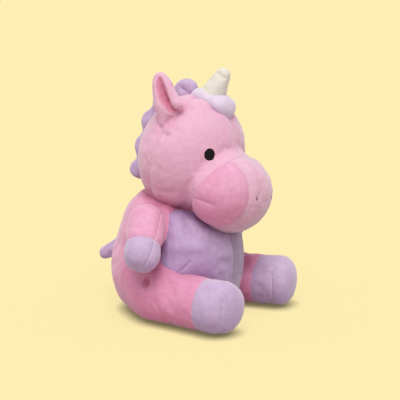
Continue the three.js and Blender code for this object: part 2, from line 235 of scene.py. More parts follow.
def mesh_points(mesh):
    co = np.zeros(3 * len(mesh.vertices))
    mesh.vertices.foreach_get("co", co)
    return co.reshape(-1, 3) / MM


def evaluated_points(obj):
    shown = obj.evaluated_get(bpy.context.evaluated_depsgraph_get())
    mesh = bpy.data.meshes.new_from_object(shown)
    points = mesh_points(mesh)
    faces = [tuple(face.vertices) for face in mesh.polygons]
    bpy.data.meshes.remove(mesh)
    return points, faces


def subdivide(points, faces, levels):
    obj = bpy.data.objects.new("work", mesh_of("work", points, faces))
    bpy.context.scene.collection.objects.link(obj)
    smooth = obj.modifiers.new("smooth", "SUBSURF")
    smooth.levels = levels
    result = evaluated_points(obj)
    bpy.data.objects.remove(obj)
    return result


def normals_of(points, faces):
    mesh = mesh_of("work", points, faces)
    normals = np.zeros(3 * len(mesh.vertices))
    mesh.vertices.foreach_get("normal", normals)
    bpy.data.meshes.remove(mesh)
    return normals.reshape(-1, 3)


def inflate(points, faces, held, cap, slack, pressure=4.0, frames=20):
    """Blows the closed cover up like a stuffed toy's, with its seams held in place.

    slack is how much larger the cloth is cut than the form. The mean growth is taken off
    again, so that the toy keeps its size.
    """
    scene = bpy.context.scene
    obj = bpy.data.objects.new("work", mesh_of("work", points, faces))
    scene.collection.objects.link(obj)
    group = obj.vertex_groups.new(name="held")
    group.add([int(i) for i in np.flatnonzero(held)], 1.0, "REPLACE")
    cloth = obj.modifiers.new("cloth", "CLOTH")
    settings = cloth.settings
    settings.quality = 6
    settings.mass = 0.2
    settings.tension_stiffness = 20
    settings.compression_stiffness = 20
    settings.shear_stiffness = 8
    settings.bending_stiffness = 0.8
    settings.air_damping = 2
    settings.shrink_min = -slack
    settings.use_pressure = True
    settings.uniform_pressure_force = pressure
    settings.vertex_group_mass = "held"
    settings.effector_weights.gravity = 0
    for index in range(1, frames + 1):
        scene.frame_set(index)
    swollen, _ = evaluated_points(obj)
    bpy.data.objects.remove(obj)
    scene.frame_set(1)
    move = swollen - points
    length = np.linalg.norm(move, axis=1, keepdims=True)
    move *= np.minimum(1, cap / np.maximum(length, 1e-9))
    normals = normals_of(points, faces)
    growth = (move * normals).sum(1).mean()
    return points + move - growth * normals


# ------------------------------------------------------------------ panels and seams


def seam_points(points, faces, label):
    """True where a point of the net lies next to a seam."""
    marks = label(points)
    near = np.zeros(len(points), bool)
    for face in faces:
        if len({marks[i] for i in face}) > 1:
            near[list(face)] = True
    return near


def crossing(a, b, label):
    """Where the label changes between points a and b, found by halving."""
    mark = label(a)
    low, high = np.zeros(len(a)), np.ones(len(a))
    for _ in range(9):
        middle = (low + high) / 2
        same = label(a + (b - a) * middle[:, None]) == mark
        low, high = np.where(same, middle, low), np.where(same, high, middle)
    return a + (b - a) * high[:, None]


def cut_panels(points, faces, label):
    """Cuts faces along the lines where the label changes, so that panels have clean edges."""
    marks = label(points)
    edges = {}
    for face in faces:
        for a, b in zip(face, face[1:] + face[:1]):
            if marks[a] != marks[b]:
                edges.setdefault((min(a, b), max(a, b)), len(edges))
    if not edges:
        return points, faces, [marks[face[0]] for face in faces], []
    ends = np.array(list(edges))
    extra = [crossing(points[ends[:, 0]], points[ends[:, 1]], label)]
    first_extra = len(points)
    next_point = first_extra + len(ends)
    centres, new_faces, new_marks, seams = [], [], [], []
    for face in faces:
        if len({marks[i] for i in face}) == 1:
            new_faces.append(face)
            new_marks.append(marks[face[0]])
            continue
        ring = []
        for a, b in zip(face, face[1:] + face[:1]):
            ring.append(a)
            if marks[a] != marks[b]:
                ring.append(first_extra + edges[(min(a, b), max(a, b))])
        cuts = [i for i, point in enumerate(ring) if point >= first_extra]
        centre = None
        if len(cuts) > 2:
            centre = next_point
            centres.append(np.mean([points[i] for i in face], axis=0))
            next_point += 1
        for here, there in zip(cuts, cuts[1:] + cuts[:1]):
            run = ring[here : there + 1] if there > here else ring[here:] + ring[: there + 1]
            new_marks.append(marks[run[1]])
            new_faces.append(tuple(run + ([centre] if centre is not None else [])))
            seams.append((run[0], centre if centre is not None else run[-1]))
    if centres:
        extra.append(np.array(centres))
    return np.vstack([points] + extra), new_faces, new_marks, seams


def finder(spots):
    tree = KDTree(len(spots))
    for i, spot in enumerate(spots):
        tree.insert(spot, i)
    tree.balance()
    return tree


def wander(spots, wavelength, seed=0.0):
    """Smooth noise at each spot, between about -1 and 1."""
    start = Vector((seed, 3.7, 1.3))
    return np.array([noise.noise(Vector(spot) / wavelength + start) for spot in spots])


def dense_line(corners, step=0.7):
    """Points along a smooth line through a few corners."""
    corners = np.array(corners, float)
    knots = np.arange(len(corners))
    length = np.linalg.norm(np.diff(corners, axis=0), axis=1).sum()
    at = np.linspace(0, len(corners) - 1, max(3, int(length / step)))
    straight = np.column_stack([np.interp(at, knots, corners[:, i]) for i in range(3)])
    for _ in range(2 * len(corners)):
        straight[1:-1] = (straight[:-2] + 2 * straight[1:-1] + straight[2:]) / 4
    return straight


def press(points, normals, spots, weights, shape, seed=0.0):
    """Presses a line of spots into the surface, and tells how close each point is to it.

    The shape's depth and width give the sharp part of the groove, its roll and roll_width the
    slow curve of the cloth towards it, and its pucker the small gathers that run away from it.
    """
    tree = finder(spots)
    found = [tree.find(point) for point in points]
    distance = np.array([hit[2] for hit in found])
    weight = weights[[hit[1] for hit in found]]
    near = distance < 2.2 * shape["roll_width"]
    gather = np.zeros(len(points))
    gather[near] = wander([found[i][0] for i in np.flatnonzero(near)], 3.2, seed)
    groove = shape["depth"] * np.clip(1 - distance / shape["width"], 0, 1) ** 1.6
    bank = shape["roll"] * np.exp(-((distance / shape["roll_width"]) ** 2))
    fold = shape["pucker"] * gather * np.exp(-distance / (0.55 * shape["roll_width"])) * near
    line = weight * np.exp(-((distance / 1.1) ** 2))
    return points - normals * (weight * (groove + bank + fold))[:, None], line


def add_piece(name, points, faces, body, material, replaces=(), lines=None):
    """A smooth-shaded piece of the toy, in world millimetres, that moves with a body when body is a name,
    and is only baked into place when it is a tuple.

    lines tells how close each point is to a seam, for the material, which paints a highlight there.
    """
    used = sorted({i for face in faces for i in face})
    number = {old: new for new, old in enumerate(used)}
    mesh = mesh_of(name, points[used], [[number[i] for i in face] for face in faces])
    mesh.shade_smooth()
    if lines is not None:
        near_seam = mesh.attributes.new("near_seam", "FLOAT", "POINT")
        near_seam.data.foreach_set("value", lines[used].astype(np.float32))
    obj = bpy.data.objects.new(name, mesh)
    bpy.context.scene.collection.objects.link(obj)
    obj.data.materials.append(material)
    if isinstance(body, str):
        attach(obj, body)
    else:
        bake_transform(obj)
    if replaces:
        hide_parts(*replaces)
    return obj


SEAM = {"depth": 0.9, "width": 1.9, "roll": 0.8, "roll_width": 6.0, "pucker": 0.4}


def sew(field, low, high, step, label, panels, body, creases=(), place=None,
        seam=SEAM, weigh=None, hold=None, cap=3.0, slack=0.03):
    """Builds one stuffed cover from its field and adds its panels.

    panels maps each label to (piece name, record slot, material, CAD nodes it stands for).
    creases are (line of corners, shape for press). place takes points to world space.
    weigh tells how deep each spot of a seam is pressed in. hold marks further points that the
    cloth simulation keeps still. cap is how far the cloth may move, and no cap means no cloth.
    slack is how much larger the cloth is cut than the form.
    body is one body's name, which the pieces are attached to, or (limb, parent, start, end) for a cover
    that sits between them; such a cover is only baked into place.
    Returns the whole cover's points and faces.
    """
    points, quads = net(field, low, high, step)
    if cap:
        held = seam_points(points, quads, label)
        if hold is not None:
            held |= hold(points)
        points = inflate(points, quads, held, cap, slack)
    points, faces = subdivide(points, quads, FINE)
    points, faces, marks, seams = cut_panels(points, faces, label)
    normals = normals_of(points, faces)
    lines = np.zeros(len(points))
    if seams:
        ends = points[np.array(seams)]
        spots = np.vstack([ends[:, 0], ends[:, 1], ends.mean(1)])
        weights = weigh(spots) if weigh is not None else np.ones(len(spots))
        points, lines = press(points, normals, spots, weights, seam)
    for number, (corners, shape) in enumerate(creases):
        spots = dense_line(corners)
        ends_fade = np.sin(np.linspace(0.15, math.pi - 0.15, len(spots))) ** 0.6
        points, line = press(points, normals, spots, ends_fade, shape, number)
        lines = np.maximum(lines, shape.get("line", 0.0) * line)
    lumps = sum(height * wander(points, wavelength, seed) for height, wavelength, seed in LUMPS)
    points = points + normals * lumps[:, None]
    if place is not None:
        points = place(points)
    for mark, (name, slot, material, nodes) in panels.items():
        own = [face for face, face_mark in zip(faces, marks) if face_mark == mark]
        if own:
            add_piece(name, points, own, body, material, nodes, lines)
    return points, faces


# ------------------------------------------------------------------ materials


def node_tree(name):
    material = bpy.data.materials.new(name)
    material.use_nodes = True
    tree = material.node_tree
    tree.nodes.clear()
    return material, tree


def link(tree, source, target):
    tree.links.new(source, target)


def noise_node(tree, coordinates, scale, detail=2.0, roughness=0.5):
    node = tree.nodes.new("ShaderNodeTexNoise")
    node.inputs["Scale"].default_value = scale
    node.inputs["Detail"].default_value = detail
    node.inputs["Roughness"].default_value = roughness
    link(tree, coordinates, node.inputs["Vector"])
    return node.outputs["Fac"]


def stretch(tree, value, low, high, out_low=0.0, out_high=1.0):
    node = tree.nodes.new("ShaderNodeMapRange")
    for key, number in (("From Min", low), ("From Max", high), ("To Min", out_low), ("To Max", out_high)):
        node.inputs[key].default_value = number
    link(tree, value, node.inputs["Value"])
    return node.outputs["Result"]


def mix_colour(tree, share, a, b):
    node = tree.nodes.new("ShaderNodeMix")
    node.data_type = "RGBA"
    for socket, value in ((node.inputs[6], a), (node.inputs[7], b)):
        if isinstance(value, tuple):
            socket.default_value = (*value, 1)
        else:
            link(tree, value, socket)
    if isinstance(share, float):
        node.inputs[0].default_value = share
    else:
        link(tree, share, node.inputs[0])
    return node.outputs[2]


PAINTED_LIGHT_FROM = Vector((-0.45, -0.35, 0.82))  # pile that faces this way gets painted light: its colour is mixed towards the pale colour


def painted_light_share(tree):
    # Painted light: 1 where the pile faces the key light's side, 0 where it turns away.
    normal = tree.nodes.new("ShaderNodeNewGeometry").outputs["Normal"]
    dot = tree.nodes.new("ShaderNodeVectorMath")
    dot.operation = "DOT_PRODUCT"
    link(tree, normal, dot.inputs[0])
    dot.inputs[1].default_value = PAINTED_LIGHT_FROM.normalized()
    return stretch(tree, dot.outputs["Value"], -0.3, 0.95)


def hollows(tree, reach):
    """1 in the open, less where other cloth is near; used to paint shade on the pile and a contact shadow
    on the floor.
    """
    node = tree.nodes.new("ShaderNodeAmbientOcclusion")
    node.samples = 6
    node.inputs["Distance"].default_value = reach
    return node.outputs["AO"]


def unshaded_share(tree, where, reach):
    """Share of the colour left free of painted shade: 1 in the open and beside the bright floor, 0 in the
    hollows between two covers.
    """
    split = tree.nodes.new("ShaderNodeSeparateXYZ")
    link(tree, where, split.inputs[0])
    low = stretch(tree, split.outputs["Z"], 0.035, 0.055, 1.0, 0.0)
    either = tree.nodes.new("ShaderNodeMath")
    either.operation = "MAXIMUM"
    link(tree, stretch(tree, hollows(tree, reach), 0.25, 0.9), either.inputs[0])
    link(tree, low, either.inputs[1])
    return either.outputs[0]


def pile(name, pale, tone, deep, fuzz_and_sheen, reach=0.03, sheen=0.7):
    """Short brushed pile with light and shade painted into its colour: painted light makes it pale
    where it faces the key light, painted shade makes it deep in the hollows, and a painted sheen
    makes it fuzzy at the edge and along seams.
    """
    material, tree = node_tree(name)
    where = tree.nodes.new("ShaderNodeTexCoord").outputs["Object"]
    brushed = stretch(tree, noise_node(tree, where, 32, 3.0, 0.55), 0.36, 0.64, 0.0, 0.4)
    strokes = stretch(tree, noise_node(tree, where, 190, 2.0, 0.6), 0.3, 0.7, 0.0, 0.2)
    fibres = noise_node(tree, where, 2300, 2.0, 0.7)
    base = mix_colour(tree, painted_light_share(tree), tone, pale)
    base = mix_colour(tree, brushed, base, tone)
    base = mix_colour(tree, strokes, base, deep)
    base = mix_colour(tree, stretch(tree, fibres, 0.35, 0.65, 0.0, 0.12), base, fuzz_and_sheen)
    # Painted highlight: the colour lightens towards the fuzz colour along seams and creases.
    seam = tree.nodes.new("ShaderNodeAttribute")
    seam.attribute_name = "near_seam"
    base = mix_colour(tree, stretch(tree, seam.outputs["Fac"], 0, 1, 0.0, 0.25), base, fuzz_and_sheen)
    # Painted sheen: the colour fades to the fuzz colour towards the silhouette.
    facing = tree.nodes.new("ShaderNodeLayerWeight")
    facing.inputs["Blend"].default_value = 0.5
    edge = stretch(tree, facing.outputs["Facing"], 0.5, 1.0, 0.0, 0.75)
    base = mix_colour(tree, edge, base, fuzz_and_sheen)
    # Painted shade: the deep colour takes over where other cloth is near.
    base = mix_colour(tree, unshaded_share(tree, where, reach), deep, base)
    shader = tree.nodes.new("ShaderNodeBsdfPrincipled")
    shader.inputs["Roughness"].default_value = 0.95
    shader.inputs["Specular IOR Level"].default_value = 0.1
    shader.inputs["Sheen Weight"].default_value = sheen
    shader.inputs["Sheen Roughness"].default_value = 0.6
    shader.inputs["Sheen Tint"].default_value = (*fuzz_and_sheen, 1)
    link(tree, base, shader.inputs["Base Color"])
    nap = tree.nodes.new("ShaderNodeBump")
    nap.inputs["Strength"].default_value = 0.4
    nap.inputs["Distance"].default_value = 0.0004
    link(tree, fibres, nap.inputs["Height"])
    brush = tree.nodes.new("ShaderNodeBump")
    brush.inputs["Strength"].default_value = 0.3
    brush.inputs["Distance"].default_value = 0.0012
    link(tree, strokes, brush.inputs["Height"])
    link(tree, nap.outputs["Normal"], brush.inputs["Normal"])
    link(tree, brush.outputs["Normal"], shader.inputs["Normal"])
    output = tree.nodes.new("ShaderNodeOutputMaterial")
    link(tree, shader.outputs["BSDF"], output.inputs["Surface"])
    return material


def thread(name, colour, light):
    """Satin stitch: fine parallel threads with a soft shine."""
    material, tree = node_tree(name)
    where = tree.nodes.new("ShaderNodeTexCoord").outputs["Object"]
    rows = tree.nodes.new("ShaderNodeTexWave")
    rows.inputs["Scale"].default_value = 420
    rows.inputs["Distortion"].default_value = 1.5
    rows.bands_direction = "Z"
    link(tree, where, rows.inputs["Vector"])
    shader = tree.nodes.new("ShaderNodeBsdfPrincipled")
    shader.inputs["Roughness"].default_value = 0.5
    shader.inputs["Specular IOR Level"].default_value = 0.2
    shade = mix_colour(tree, stretch(tree, rows.outputs["Fac"], 0, 1, 0, 0.5), colour, light)
    link(tree, shade, shader.inputs["Base Color"])
    bump = tree.nodes.new("ShaderNodeBump")
    bump.inputs["Strength"].default_value = 0.4
    bump.inputs["Distance"].default_value = 0.0003
    link(tree, rows.outputs["Fac"], bump.inputs["Height"])
    link(tree, bump.outputs["Normal"], shader.inputs["Normal"])
    output = tree.nodes.new("ShaderNodeOutputMaterial")
    link(tree, shader.outputs["BSDF"], output.inputs["Surface"])
    return material


# Each pile: its colour under painted light, its colour, its colour in painted shade (also that of
# darker brush strokes) and its fuzz and sheen colour. The real toy has one pink and one lilac cloth.
# The variants are lit and shaded copies of them: light and shade painted in per panel.
PINK = pile("pink_pile", (0.90, 0.47, 0.65), (0.85, 0.28, 0.48), (0.52, 0.09, 0.22), (0.86, 0.64, 0.74))
# Legs: a darker, more saturated copy of the pink, painted shade.
PINK_LEG_SHADE = pile("pink_pile_leg_shade", (0.85, 0.40, 0.58), (0.81, 0.23, 0.42), (0.48, 0.07, 0.18),
                (0.84, 0.52, 0.65))
# Panels facing the key light: a paler copy of the pink, painted light, with a short reach of painted
# shade.
PINK_LIT = pile("pink_pile_lit", (0.93, 0.54, 0.70), (0.88, 0.44, 0.61), (0.60, 0.17, 0.33),
                 (0.87, 0.70, 0.78), 0.015)
# Panels turned from the key light: a greyer, less saturated copy of the pink, painted shade and sheen.
PINK_AWAY_FROM_LIGHT = pile("pink_pile_away_from_light", (0.90, 0.56, 0.70), (0.80, 0.42, 0.56), (0.52, 0.16, 0.28),
                   (0.84, 0.69, 0.75), 0.02)
DEEP_PINK = pile("deep_pink_pile", (0.88, 0.38, 0.54), (0.82, 0.26, 0.42), (0.52, 0.09, 0.20),
                 (0.88, 0.62, 0.70))
LILAC = pile("lilac_pile", (0.70, 0.53, 0.74), (0.56, 0.35, 0.63), (0.28, 0.12, 0.30), (0.74, 0.68, 0.77))
# Belly facing the key light: a copy of the lilac with deeper painted shade reaching further, under the
# chin.
LILAC_CHIN_SHADE = pile("lilac_pile_chin_shade", (0.72, 0.54, 0.79), (0.58, 0.36, 0.67), (0.20, 0.07, 0.22),
                   (0.70, 0.62, 0.74), 0.07)
# Belly turned from the key light: a darker, greyer copy of the lilac, painted shade.
LILAC_AWAY_FROM_LIGHT = pile("lilac_pile_away_from_light", (0.62, 0.48, 0.65), (0.46, 0.33, 0.50), (0.22, 0.11, 0.24),
                    (0.64, 0.60, 0.66), 0.07)
# Forelock: a much paler copy of the lilac, painted light on pile that faces up.
LILAC_LIT = pile("lilac_pile_lit", (0.90, 0.80, 0.91), (0.76, 0.60, 0.79), (0.38, 0.20, 0.41),
                     (0.86, 0.82, 0.88), 0.015)
CREAM = pile("cream_pile", (0.94, 0.91, 0.79), (0.84, 0.80, 0.70), (0.46, 0.40, 0.31), (0.90, 0.88, 0.82))
BLACK = thread("black_thread", (0.006, 0.003, 0.005), (0.016, 0.010, 0.013))
MAUVE = thread("mauve_thread", (0.30, 0.16, 0.21), (0.42, 0.26, 0.32))


def both_sides(lines):
    return [line for corners, shape in lines for line in
            ((corners, shape), ([(-x, y, z) for x, y, z in corners], shape))]


# A crease's line is how strongly the material paints a highlight along it.
DART = {"depth": 1.5, "width": 2.6, "roll": 0.9, "roll_width": 6.0, "pucker": 0.2, "line": 0.8}
FOLD = {"depth": 1.9, "width": 4.5, "roll": 1.2, "roll_width": 7.0, "pucker": 0.2}
DENT = {"depth": 4.0, "width": 8.0, "roll": 3.5, "roll_width": 8.0, "pucker": 0.05}
HIP_DENT = ((-75, -4, 47), (-76.5, -8, 45), (-77, -12, 44.5))
SOFT_FOLD = {"depth": 0.9, "width": 4.0, "roll": 0.8, "roll_width": 7.0, "pucker": 0.1}


# ------------------------------------------------------------------ torso


def halves(points):
    return (points[:, 0] > 0).astype(int)


BELLY_SEAM = -18.0
SEAT_SEAM = 5.0


def torso_label(points):
    """0 and 1: back; 2 and 3: belly; 4: seat."""
    mark = halves(points) + 2 * (points[:, 1] < BELLY_SEAM)
    return np.where(points[:, 2] < SEAT_SEAM, 4, mark)


def build_torso():
    # Painted shade by panel: the right belly takes the lilac copy with deeper shade under the chin, the
    # left belly the darker copy turned from the light.
    panels = {
        0: ("cover_back_right", "pink_plush", PINK, ("back_panel_right", "torso_stuffing")),
        1: ("cover_back_left", "pink_plush", PINK, ("back_panel_left",)),
        2: ("cover_belly_right", "lilac_plush", LILAC_CHIN_SHADE, ("belly_panel_right",)),
        3: ("cover_belly_left", "lilac_plush", LILAC_AWAY_FROM_LIGHT, ("belly_panel_left",)),
        4: ("cover_seat", "pink_plush", PINK, ("seat_panel", "bean_pouch")),
    }
    thigh = ((-58, -38, 56), (-53, -43, 62), (-50, -46, 67))
    chest = ((-8, -60, 97), (-2, -66, 84), (2, -68, 68), (0, -66, 50))
    low_fold = ((-4, -68, 34), (-9, -66, 44), (-12, -66, 58), (-10, -66, 72))
    creases = both_sides([(thigh, DART), (HIP_DENT, DENT)]) + [(chest, SOFT_FOLD), (low_fold, SOFT_FOLD)]

    def hold(points):
        near_limb = np.abs(points[:, 0]) > 30
        return (points[:, 2] < 3) | (near_limb & (points[:, 1] < 40) & (points[:, 2] < 75))

    sew(torso_field, (-80, -80, -6), (80, 80, 152), COARSE_STEP, torso_label, panels, "torso", creases,
        hold=hold)


def build_neck():
    """The top of the torso's stuffing, which shows under the head when it nods."""
    centre = NECK + (0, 0, 8)

    panels = {
        0: ("neck_right", "pink_plush", PINK, ("neck_stuffing",)),
        1: ("neck_left", "pink_plush", PINK, ()),
    }

    def field(points):
        return ellipsoid(points, centre, (36, 36, 24))

    sew(field, centre - 42, centre + 42, COARSE_STEP, halves, panels, "neck")


# ------------------------------------------------------------------ head

MUZZLE_SEAM = (np.array([0, -51, 21.6]), np.array([0, -0.79, -0.613]))
FACE_SEAM = (np.array([0, -9.5, 72.0]), np.array([0, 0.946, 0.322]))
MUZZLE_FRONT_HALF = 24.0


def side_of(points, plane):
    return (points - plane[0]) @ plane[1]


def head_label(points):
    """0 and 1: face; 2 and 3: back of the head; 4 and 5: muzzle sides; 6: muzzle front."""
    half = halves(points)
    mark = half + 2 * (side_of(points, FACE_SEAM) > 0)
    muzzle = np.where(np.abs(points[:, 0]) < MUZZLE_FRONT_HALF, 6, half + 4)
    return np.where(side_of(points, MUZZLE_SEAM) > 0, muzzle, mark)


def build_head():
    # Painted light and shade by panel: the right face and the back of the head take the paler lit copy of
    # the pink, the left face and the muzzle's front the greyer copy turned from the light.
    panels = {
        0: ("cover_face_right", "pink_plush", PINK_LIT, ("face_panel_right", "head_stuffing")),
        1: ("cover_face_left", "pink_plush", PINK_AWAY_FROM_LIGHT, ("face_panel_left",)),
        2: ("cover_head_back_right", "pink_plush", PINK_LIT, ("head_back_right",)),
        3: ("cover_head_back_left", "pink_plush", PINK_LIT, ("head_back_left",)),
        4: ("cover_muzzle_right", "pink_plush", PINK, ("muzzle_side_right",)),
        5: ("cover_muzzle_left", "pink_plush", PINK, ("muzzle_side_left",)),
        6: ("cover_muzzle_front", "pink_plush", PINK_AWAY_FROM_LIGHT, ("muzzle_front",)),
    }
    mouth = ((-44, -41, 6), (-49, -53, 5), (-49, -63, 3), (-48, -69, 1))
    ear_fold = ((-57, -8, 72), (-59, -12, 68), (-58, -22, 67))
    cheek = ((-47, 13, 18), (-48, 4, 12), (-49, -6, 10), (-47, -17, 9), (-47, -26, 13))
    creases = both_sides([(mouth, DART), (ear_fold, FOLD), (cheek, FOLD)])
    return sew(head_field, (-70, -110, -36), (70, 50, 118), COARSE_STEP, head_label, panels, "head",
               creases, from_head)


# ------------------------------------------------------------------ limbs


def limb_frame(kind, hand):
    """Pivot, direction, hoof radius, full reach and start of the hoof, from the joint and the CAD."""
    joint = ("shoulder_" if kind == "arm" else "hip_") + hand
    pivot = joint_point(joint)
    stuffing = node_points(f"{kind}_stuffing_{hand}")
    hoof = node_points(f"{kind}_hoof_outer_{hand}", f"{kind}_hoof_inner_{hand}")
    far = stuffing[np.argmax(np.linalg.norm(stuffing - pivot, axis=1))]
    along = (far - pivot) / np.linalg.norm(far - pivot)
    reach = (hoof - pivot) @ along
    radius = np.linalg.norm(hoof - pivot - reach[:, None] * along, axis=1).max()
    return pivot, along, radius, reach.max(), reach.min()


def arm_field(pivot, along, radius, reach):
    """A round-ended tube that runs smoothly into the torso at its root, and only there."""
    root, end, root_radius = pivot + (0, 1.5, 0), pivot + along * (reach - radius), 18.0

    def field(points):
        limb = round_cone(points, root, end, root_radius, radius)
        skin = join(limb, torso_field(points) + 1.8, 9)
        room = round_cone(points, root, root + along * 4, root_radius + 11, root_radius + 9)
        return join(meet(skin, room, 2), limb, 2)

    return field


def leg_field(side, pivot, along, radius, reach):
    """Thicker than an arm, blunt at the toe and flat on the floor.

    It runs smoothly into the torso's side and back, and meets the belly in a crease.
    """
    root, end, root_radius = pivot - (0, 0, 3.5), pivot + along * (reach - radius + 7), 26.5
    spread = 26

    def field(points):
        limb = round_cone(points, root, end, root_radius, radius)
        limb = meet(limb, (points - pivot) @ along - reach, 16)
        outwards = (side * points[:, 0] - 56) / 14 + np.maximum(points[:, 1] + 8, 0) / 22
        outwards = np.clip(outwards, 0, 1)
        skin = join(limb, torso_field(points) + 3.2 - 2.7 * outwards, 4 + 20 * outwards)
        room = round_cone(points, root, end, root_radius + spread, radius + spread)
        return meet(meet(skin, room, 2), -points[:, 2], 5)

    return field


SEAM_TURN = {"arm": -24.0, "leg": 0.0}  # the middle of the outer panel, turned forwards
HOOF_SLANT = {"arm": 0.0, "leg": 0.13}  # how much further out the hoof starts on the outer side
SEAM_SLANT = {"arm": 0.12, "leg": 0.0}  # how fast the seam comes forwards up the limb
TOE_SEAM = {"left": -64.0, "right": -43.0}  # where each toe seam points, from straight ahead
TOE_SEAM_TOP = 43.0
ROOT_BLEND = {"arm": 16, "leg": 30}  # how far past the pivot the bend range reaches (nothing makes the cover bend), and its net's margin
# The second seam of an arm's hoof: across, along and around the arm, in hoof radii.
HOOF_RIM = ((0.78, 0.29, -0.54), (0.48, 0.82, -0.30), (0.11, 0.98, -0.12), (-0.16, 0.98, -0.11))


def build_limb(kind, hand, side):
    pivot, along, radius, reach, hoof_from = limb_frame(kind, hand)
    if kind == "arm":
        field = arm_field(pivot, along, radius, reach)
    else:
        field = leg_field(side, pivot, along, radius, reach)
    level = np.array([side, 0, 0]) - side * along[0] * along
    level /= np.linalg.norm(level)
    third = np.cross(level, along)
    turn = math.radians(SEAM_TURN[kind]) * side
    outer = level * math.cos(turn) - third * math.sin(turn)
    toe = math.radians(TOE_SEAM[hand])
    toe_normal = np.array([math.cos(toe), math.sin(toe), 0]) * side
    ball = pivot + along * (reach - radius)
    end_of_limb = pivot + along * reach
    seam_normal = outer - SEAM_SLANT[kind] * along

    def in_hoof(points):
        from_pivot = points - pivot
        return from_pivot @ along > hoof_from + HOOF_SLANT[kind] * (from_pivot @ level - radius / 2)

    def label(points):
        outside = (points - end_of_limb) @ seam_normal > 0
        if kind == "leg":
            outside = np.where(in_hoof(points), (points - ball) @ toe_normal > 0, outside)
        return outside + 2 * in_hoof(points)

    def weigh(spots):
        if kind == "arm":
            return np.where(spots[:, 2] > pivot[2] + 10, 0.0, 0.8)
        toe_part = (spots - pivot) @ along > hoof_from + 2
        low = np.clip((TOE_SEAM_TOP - spots[:, 2]) / 5, 0, 1)
        return np.where(toe_part, low, 0.3)

    panels = {}
    # Legs take the darker copy of the pink: painted shade.
    looks = (("pink_plush", PINK_LEG_SHADE if kind == "leg" else PINK), ("lilac_plush", LILAC))
    for mark, part in enumerate(("inner", "outer", "hoof_inner", "hoof_outer")):
        slot, material = looks[mark // 2]
        nodes = [f"{kind}_{part}_{hand}"]
        if part == "inner":
            nodes.append(f"{kind}_stuffing_{hand}")
        panels[mark] = (f"cover_{kind}_{part}_{hand}", slot, material, nodes)
    corners = np.array([pivot, pivot + along * reach])
    margin = radius + ROOT_BLEND[kind]
    creases = both_sides([(HIP_DENT, DENT)])
    if kind == "arm":
        rim = [ball + radius * (a * level + b * along - side * c * third) for a, b, c in HOOF_RIM]
        creases = [(rim, DART)]
    bend = (f"{kind}_{hand}", "torso", pivot - along * 6, pivot + along * ROOT_BLEND[kind])

    def hold(points):
        return ((points - pivot) @ along < 8) | (torso_field(points) < 7)

    sew(field, corners.min(0) - margin, corners.max(0) + margin, LIMB_STEP, label, panels, bend,
        creases, weigh=weigh, hold=hold, cap=2.0, slack=0.015)


# ------------------------------------------------------------------ ears

EAR_CENTRE = np.array([49.5, -8.0, 103.0])
EAR_FACING = 78.0
EAR_SWEEP = {"left": 0.12, "right": 0.29}  # how far the tip leans back, for each millimetre up
SLIT_TURN = 58.0


def ear_axes(side):
    """Rows: across the ear towards the brow, out of its opening, and up it, in the head frame."""
    facing = math.radians(EAR_FACING)
    across = (-math.cos(facing) * side, -math.sin(facing), 0)
    out = (math.sin(facing) * side, -math.cos(facing), 0)
    return np.array([across, out, (0, 0, 1)])


def slit_field(q):
    """The folded hollow: it opens towards the back lobe and runs deep under the front flap."""
    turn = math.radians(SLIT_TURN)
    across = q[:, 0] - 1.0 - np.clip(18 - q[:, 2], -6, 34) * 0.17
    outward = q[:, 1] - 4.5
    thick = math.cos(turn) * across + math.sin(turn) * outward
    wide = math.cos(turn) * outward - math.sin(turn) * across
    return ellipsoid(np.column_stack([thick, wide, q[:, 2] - 4]), (0, 0, 0), (3.6, 11.5, 18.0))


def ear_field(q):
    """q is across, out and up from the middle of the ear, with the tip's lean taken off."""
    leaf = ellipsoid(q, (-1, 0, 0), (13.2, 9.5, 27.0))
    trim = 0.55 * q[:, 0] - 0.83 * q[:, 2] - 15
    leaf = meet(leaf, trim, 5)
    leaf = meet(leaf, -slit_field(q), 2.5)
    thin = q * (1, 1.25, 1)
    flap = round_cone(thin, (2.5, 4.5, 22), (11.0, 4.5, -3), 3.2, 6.4)
    lobe = round_cone(q, (-6, 2.5, -9), (-9.0, 3.5, -25), 7.5, 3.0)
    root = ellipsoid(q, (-3, -3.5, -15), (10, 6, 14))
    return join(join(join(leaf, flap, 2.5), lobe, 5), root, 5)


def build_ear(hand, side):
    axes = ear_axes(side)
    centre = EAR_CENTRE * (side, 1, 1)

    def local(points):
        q = (points - centre) @ axes.T
        q[:, 0] += EAR_SWEEP[hand] * q[:, 2]
        return q

    def field(points):
        q = local(points)
        rooted = join(ear_field(q), ellipsoid(points, *SKULL) + 2.2, 4)
        return meet(rooted, ellipsoid(q, (0, 0, -3), (22, 17, 36)), 2)

    def label(points):
        return (slit_field(local(points)) < 1.0).astype(int)

    # The ear's back takes the paler lit copy of the pink: painted light.
    panels = {
        0: (f"ear_back_{hand}", "pink_plush", PINK_LIT, (f"ear_outer_{hand}",)),
        1: (f"ear_lining_{hand}", "deep_pink_plush", DEEP_PINK, (f"ear_inner_{hand}",)),
    }
    soft = {"depth": 0.2, "width": 1.5, "roll": 0.0, "roll_width": 2.0, "pucker": 0.1}
    sew(field, centre - 42, centre + 38, EAR_STEP, label, panels, f"ear_{hand}", (), from_head, soft,
        cap=0)


# ------------------------------------------------------------------ horn, forelock, mane, tail

HORN_LEAN = 26.5
HORN_ROOT_RADIUS, HORN_TIP_RADIUS = 17.2, 7.4
# Folds of the horn's cover: height up the horn, first angle and last angle round it.
HORN_FOLDS = ((13.0, -70, 60), (16.5, -30, 80), (26.0, 0, 70))


def horn_frame():
    base = to_head(joint_point("horn_tilt"))
    lean = math.radians(HORN_LEAN)
    return base, np.array([0, -math.sin(lean), math.cos(lean)])


